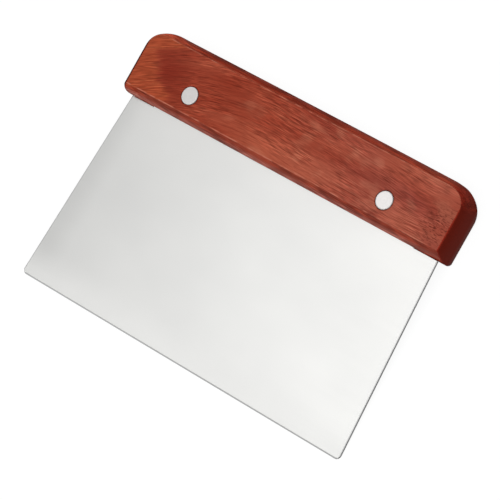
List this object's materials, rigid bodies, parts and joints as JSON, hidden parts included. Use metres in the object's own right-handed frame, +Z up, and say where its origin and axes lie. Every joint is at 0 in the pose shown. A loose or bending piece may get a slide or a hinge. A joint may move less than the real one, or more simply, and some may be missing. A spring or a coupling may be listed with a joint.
{
  "type": "dough scraper",
  "caption": "Bench dough scraper: a flared stainless blade with a blunt working edge, riveted into a slotted reddish hardwood handle, for cutting, lifting and scraping dough.",
  "frame": {"origin": "under the middle of the scraper's box, at the level of the bench that it lies on", "axes": "+X along the handle, +Y from the working edge towards the handle, +Z up from the bench. The scraper lies on its back, front face up, on its working edge and the lower back edge of its handle, so its blade leans 4.82 degrees down towards the edge"},
  "size_m": [0.1522, 0.1032, 0.0159],
  "materials": {
    "handle_wood": "reddish-brown hardwood, clear satin lacquer",
    "blade_steel": "satin stainless sheet",
    "rivet_aluminium": "bright, lightly turned heads"
  },
  "bodies": {
    "root": {"handle": "handle_wood", "blade": "blade_steel", "rivet_left_sleeve": "rivet_aluminium", "rivet_left_pin": "rivet_aluminium", "rivet_right_sleeve": "rivet_aluminium", "rivet_right_pin": "rivet_aluminium"}
  },
  "joints": []
}
